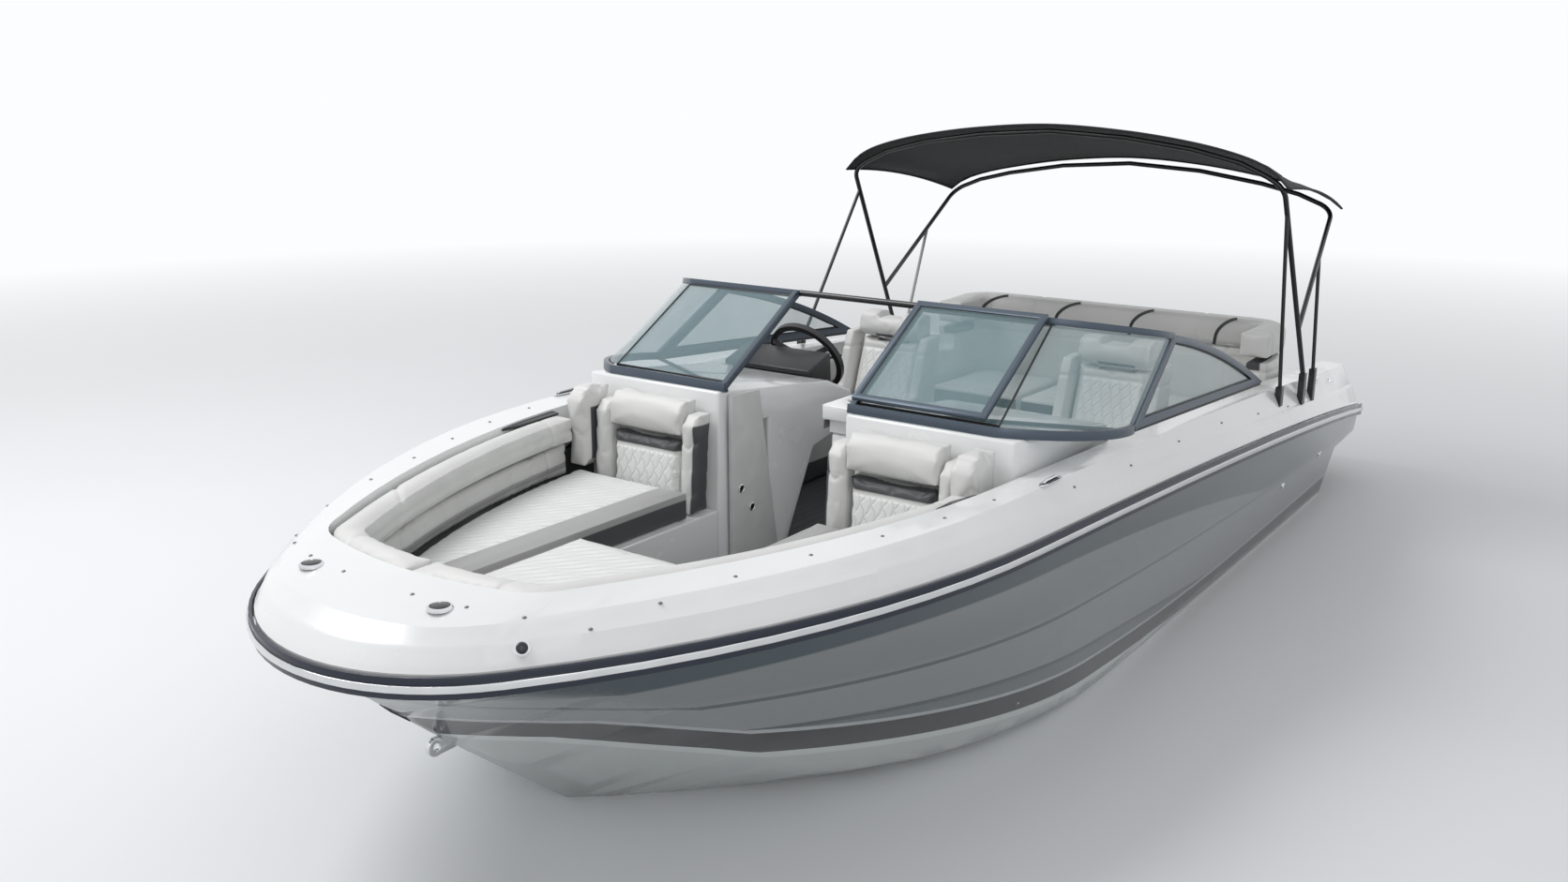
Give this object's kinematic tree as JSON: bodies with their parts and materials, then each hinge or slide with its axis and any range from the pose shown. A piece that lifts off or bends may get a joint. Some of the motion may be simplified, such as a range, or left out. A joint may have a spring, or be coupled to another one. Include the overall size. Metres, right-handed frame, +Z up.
{
  "type": "open-bow sterndrive motorboat",
  "caption": "Open-bow runabout afloat: vee hull, bow lounge, split windshield with a folding door, helm and companion seats, aft bench, sun top and sterndrive.",
  "frame": {"origin": "on the waterline, on the centreline, amidships", "axes": "+X to the bow, +Y to port, +Z up"},
  "size_m": [6.648, 2.608, 2.872],
  "materials": {
    "hull_paint": "metallic gelcoat, gloss",
    "white_gelcoat": "smooth gloss",
    "dark_rail": "satin",
    "chrome": "polished",
    "stainless": "polished",
    "frame_metal": "anodised",
    "vinyl_light": "fine grain vinyl",
    "vinyl_dark": "fine grain vinyl",
    "sole_mat": "matt grip mat",
    "black_plastic": "matt",
    "clear_glass": "tinted, gloss",
    "canvas": "woven",
    "drive_paint": "satin",
    "engine_iron": "painted",
    "tube_black": "powder coated, satin",
    "propeller_alloy": "satin"
  },
  "bodies": {
    "root": {"hull": "hull_paint", "deck": "white_gelcoat", "rub_rail": "dark_rail", "rail_insert": "chrome", "cockpit_sole": "sole_mat", "bow_seat_base": "white_gelcoat", "bow_seat_cushions": "vinyl_light", "bow_bolsters": "vinyl_light", "bow_backrests": "vinyl_light", "helm_console": "white_gelcoat", "port_console": "white_gelcoat", "cup_ledge": "white_gelcoat", "dash_pod": "black_plastic", "side_panels": "vinyl_light", "helm_seat": "vinyl_light", "companion_seat": "vinyl_light", "seat_pedestals": "stainless", "aft_bench_base": "white_gelcoat", "aft_bench_cushion": "vinyl_light", "aft_backrest": "vinyl_light", "engine_block": "engine_iron", "stern_deck": "white_gelcoat", "windshield_frame": "frame_metal", "windshield_glass": "clear_glass", "header_bar": "tube_black", "steering_column": "black_plastic", "throttle_box": "black_plastic", "swim_platform": "sole_mat", "transom_shield": "drive_paint", "bow_eye": "stainless", "top_bows": "tube_black", "top_struts": "tube_black", "top_feet": "tube_black", "canopy": "canvas", "deck_fittings": "chrome"},
    "windshield_door": {"windshield_door_frame": "frame_metal", "windshield_door_glass": "clear_glass"},
    "locker_door": {"locker_door": "white_gelcoat"},
    "engine_hatch": {"engine_hatch": "white_gelcoat", "sunpad": "vinyl_light"},
    "drive_swivel": {"gimbal_ring": "drive_paint"},
    "drive_leg": {"drive_leg": "drive_paint"},
    "propeller": {"propeller": "propeller_alloy"},
    "steering_wheel": {"steering_wheel": "black_plastic"}
  },
  "joints": [
    {"name": "windshield_door_hinge", "type": "hinge", "parent": "root", "child": "windshield_door", "pos_m": [1.1353, 0.297, 1.154], "axis": [0.841, 0, -0.541], "range_deg": [0, 178]},
    {"name": "locker_door_hinge", "type": "hinge", "parent": "root", "child": "locker_door", "pos_m": [1.13, -0.281, 0.7], "axis": [0, 0, -1], "range_deg": [0, 100]},
    {"name": "engine_hatch_hinge", "type": "hinge", "parent": "root", "child": "engine_hatch", "pos_m": [-2.7, 0, 0.7], "axis": [0, -1, 0], "range_deg": [0, 60]},
    {"name": "drive_steer", "type": "hinge", "parent": "root", "child": "drive_swivel", "pos_m": [-2.85, 0, 0.02], "axis": [0, 0, 1], "range_deg": [-30, 30]},
    {"name": "drive_tilt", "type": "hinge", "parent": "drive_swivel", "child": "drive_leg", "pos_m": [-2.85, 0, 0.02], "axis": [0, 1, 0], "range_deg": [-5, 45]},
    {"name": "propeller_spin", "type": "hinge", "parent": "drive_leg", "child": "propeller", "pos_m": [-3.16, 0, -0.57], "axis": [1, 0, 0], "continuous": true},
    {"name": "wheel_turn", "type": "hinge", "parent": "root", "child": "steering_wheel", "pos_m": [0.06, -0.65, 1.05], "axis": [-0.866, 0, 0.5], "range_deg": [-540, 540]}
  ],
  "couplings": [
    {"joint": "wheel_turn", "follows": "drive_steer", "ratio": -18}
  ]
}
